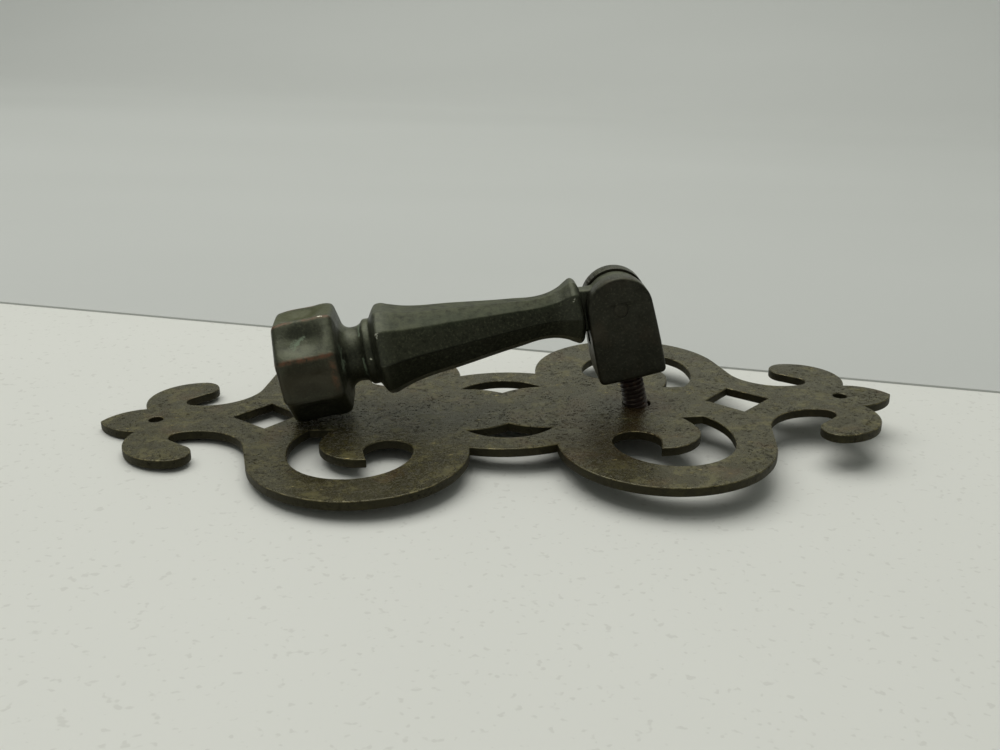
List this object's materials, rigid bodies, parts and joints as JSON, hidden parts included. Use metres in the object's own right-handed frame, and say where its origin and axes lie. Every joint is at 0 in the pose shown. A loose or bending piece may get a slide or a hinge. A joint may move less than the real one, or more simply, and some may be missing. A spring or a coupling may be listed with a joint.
{
  "type": "furniture drop pull",
  "caption": "Drawer or cupboard pull: pierced scroll backplate, fork post on a machine screw, and a hinged faceted drop handle with an octagonal knob end.",
  "frame": {"origin": "midpoint between the two nail holes, on the backplate's back face", "axes": "+X along the backplate, +Y across it, +Z out of the drawer front through the plate"},
  "size_m": [0.1356, 0.0672, 0.0286],
  "materials": {
    "plate_brass": "semi-gloss olive brown antique patina, brighter where scratched",
    "screw_steel": "dark rusty steel",
    "post_brass": "dark olive charcoal patina, satin",
    "pin_brass": "dark patina, peened flush",
    "handle_brass": "dark olive patina, copper brown on worn edges, pale verdigris in hollows"
  },
  "bodies": {
    "plate": {"backplate": "plate_brass"},
    "screw": {"mounting_screw": "screw_steel"},
    "post": {"fork_post": "post_brass", "hinge_pin": "pin_brass"},
    "handle": {"drop_handle": "handle_brass"}
  },
  "joints": [
    {"name": "screw_rock", "type": "hinge", "parent": "plate", "child": "screw", "pos_m": [0.0227, 0, 0.00075], "axis": [0, 1, 0], "range_deg": [0, 24.4]},
    {"name": "post_swivel", "type": "hinge", "parent": "screw", "child": "post", "pos_m": [0.0227, 0, 0.00075], "axis": [-0.2113, 0, 0.9774], "continuous": true},
    {"name": "handle_swing", "type": "hinge", "parent": "post", "child": "handle", "pos_m": [0.01862, 0, 0.01961], "axis": [0, 1, 0], "range_deg": [0, 175]}
  ]
}
